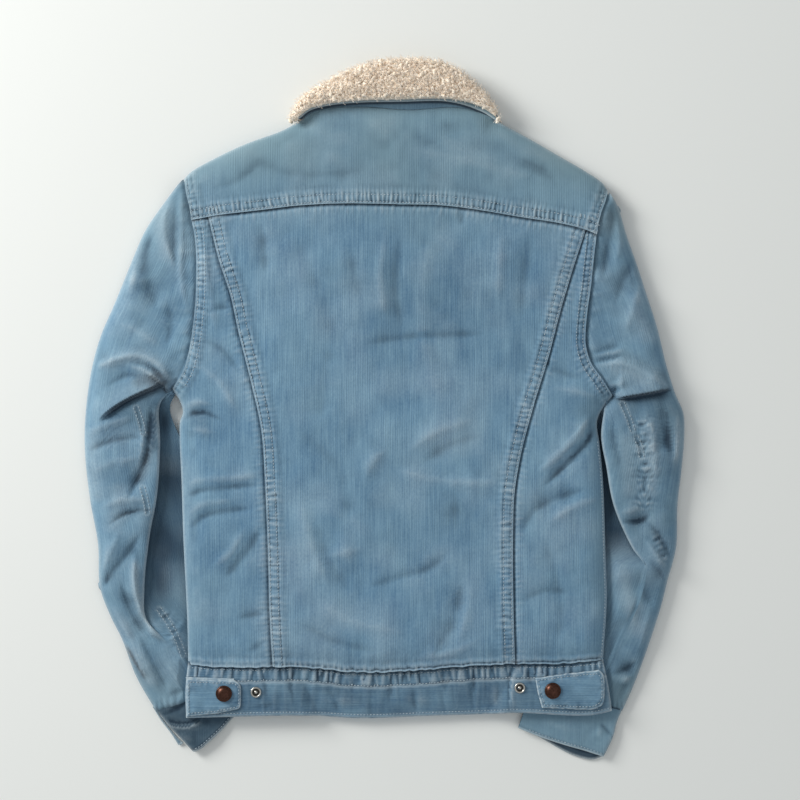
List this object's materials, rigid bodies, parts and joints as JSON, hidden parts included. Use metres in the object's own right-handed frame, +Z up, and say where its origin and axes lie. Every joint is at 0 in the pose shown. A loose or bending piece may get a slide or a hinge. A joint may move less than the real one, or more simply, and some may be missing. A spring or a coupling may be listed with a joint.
{
  "type": "sherpa lined jacket",
  "caption": "Corduroy button-front jacket with sherpa pile lining and collar, laid flat face down with its back up and its sleeves tucked under the waist corners.",
  "frame": {"origin": "under the middle of the laid-out jacket, on the surface that it lies on", "axes": "+X towards the wearer's right sleeve, +Y along the back towards the collar, +Z up from the surface, out of the jacket's back"},
  "size_m": [0.6249, 0.7288, 0.031],
  "materials": {
    "corduroy": "fine-wale cotton corduroy in a washed pale blue, whitened on its edges and seam ridges",
    "sherpa_pile": "curled cream sherpa pile",
    "copper_button": "aged dark copper, plain domed cap",
    "nickel_ring": "worn nickel plate"
  },
  "bodies": {
    "root": {"back_yoke": "corduroy", "back_centre": "corduroy", "back_side_left": "corduroy", "back_side_right": "corduroy", "front_left": "corduroy", "front_right": "corduroy", "front_placket": "corduroy", "front_button_1": "copper_button", "front_button_2": "copper_button", "front_button_3": "copper_button", "front_button_4": "copper_button", "front_button_5": "copper_button", "front_button_6": "copper_button", "sleeve_left_upper": "corduroy", "sleeve_left_lower": "corduroy", "sleeve_right_upper": "corduroy", "sleeve_right_lower": "corduroy", "cuff_left_upper": "corduroy", "cuff_left_under": "corduroy", "cuff_left_flap": "corduroy", "cuff_right_upper": "corduroy", "cuff_right_under": "corduroy", "waistband_back": "corduroy", "waistband_front": "corduroy", "tab_left": "corduroy", "tab_right": "corduroy", "tab_button_left": "copper_button", "tab_button_right": "copper_button", "tab_ring_left": "nickel_ring", "tab_ring_right": "nickel_ring", "collar_leaf": "sherpa_pile", "collar_edge": "corduroy", "collar_stand": "corduroy", "collar_front": "sherpa_pile"}
  },
  "joints": []
}
